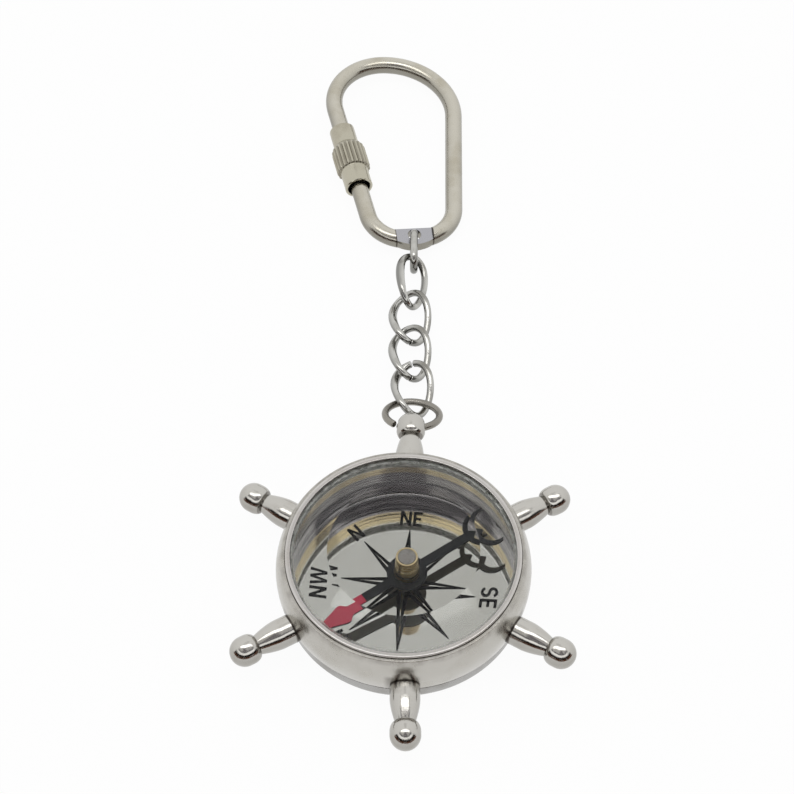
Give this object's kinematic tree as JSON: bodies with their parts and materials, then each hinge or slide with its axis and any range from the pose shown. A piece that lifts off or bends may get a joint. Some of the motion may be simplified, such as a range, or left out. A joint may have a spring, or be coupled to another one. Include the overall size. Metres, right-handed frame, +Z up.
{
  "type": "compass keychain",
  "caption": "Magnetic compass in a ship's-wheel case with ball-ended spokes, on a curb chain with a screw-lock key clip.",
  "frame": {"origin": "centre of the case's flat back face, which lies on the table", "axes": "+Z up out of the crystal, +Y along the chain from the case to the key clip, +X to the right"},
  "size_m": [0.0466, 0.1266, 0.0115],
  "materials": {
    "case_nickel": "polished nickel plate",
    "chain_nickel": "bright nickel plate",
    "clip_nickel": "satin nickel plate, warm",
    "crystal_glass": "clear polished",
    "dial_mirror": "mirror polished, printed in black",
    "bare_brass": "turned",
    "pin_steel": "turned",
    "needle_paint": "black with a red tip",
    "jewel_grey": "ground"
  },
  "bodies": {
    "compass": {"case_ring": "case_nickel", "back_cover": "case_nickel", "bezel_ring": "case_nickel", "crystal": "crystal_glass", "dial_plate": "dial_mirror", "spacer_ring": "bare_brass", "pivot_pin": "pin_steel", "spoke_1": "case_nickel", "spoke_2": "case_nickel", "spoke_3": "case_nickel", "spoke_4": "case_nickel", "spoke_5": "case_nickel", "spoke_6": "case_nickel"},
    "needle": {"needle": "needle_paint", "needle_hub": "bare_brass", "hub_jewel": "jewel_grey"},
    "jump_ring": {"jump_ring": "chain_nickel"},
    "chain_link_1": {"chain_link_1": "chain_nickel"},
    "chain_link_2": {"chain_link_2": "chain_nickel"},
    "chain_link_3": {"chain_link_3": "chain_nickel"},
    "chain_link_4": {"chain_link_4": "chain_nickel"},
    "top_link": {"top_link": "chain_nickel"},
    "clip": {"clip_frame": "clip_nickel"},
    "sleeve": {"lock_sleeve": "clip_nickel"}
  },
  "joints": [
    {"name": "needle_spin", "type": "hinge", "parent": "compass", "child": "needle", "pos_m": [0.00045, 0, 0.0045], "axis": [0, 0, 1], "continuous": true},
    {"name": "jump_ring_swing", "type": "hinge", "parent": "compass", "child": "jump_ring", "pos_m": [0.00081, 0.02449, 0.005], "axis": [0.9985, -0.0523, -0.0141], "range_deg": [-60, 80]},
    {"name": "chain_link_1_swing", "type": "hinge", "parent": "jump_ring", "child": "chain_link_1", "pos_m": [0.0008, 0.0306, 0.0023], "axis": [1, 0, 0], "range_deg": [-35, 20]},
    {"name": "chain_link_2_turn", "type": "hinge", "parent": "chain_link_1", "child": "chain_link_2", "pos_m": [0.0003, 0.03624, 0.0018], "axis": [0, 0, 1], "range_deg": [-40, 40]},
    {"name": "chain_link_3_swing", "type": "hinge", "parent": "chain_link_2", "child": "chain_link_3", "pos_m": [0.00047, 0.04358, 0.0017], "axis": [1, 0, 0], "range_deg": [-35, 35]},
    {"name": "chain_link_4_turn", "type": "hinge", "parent": "chain_link_3", "child": "chain_link_4", "pos_m": [0.0008, 0.0501, 0.002], "axis": [0, 0, 1], "range_deg": [-45, 30]},
    {"name": "top_link_swing", "type": "hinge", "parent": "chain_link_4", "child": "top_link", "pos_m": [0.0009, 0.0578, 0.0025], "axis": [1, 0, 0], "range_deg": [-30, 30]},
    {"name": "clip_swing", "type": "hinge", "parent": "top_link", "child": "clip", "pos_m": [0.00095, 0.06211, 0.00223], "axis": [0.0872, 0, 0.9962], "range_deg": [-40, 40]},
    {"name": "sleeve_slide", "type": "slide", "parent": "clip", "child": "sleeve", "axis": [0.2511, -0.9677, -0.022], "range_m": [0, 0.0056]}
  ]
}
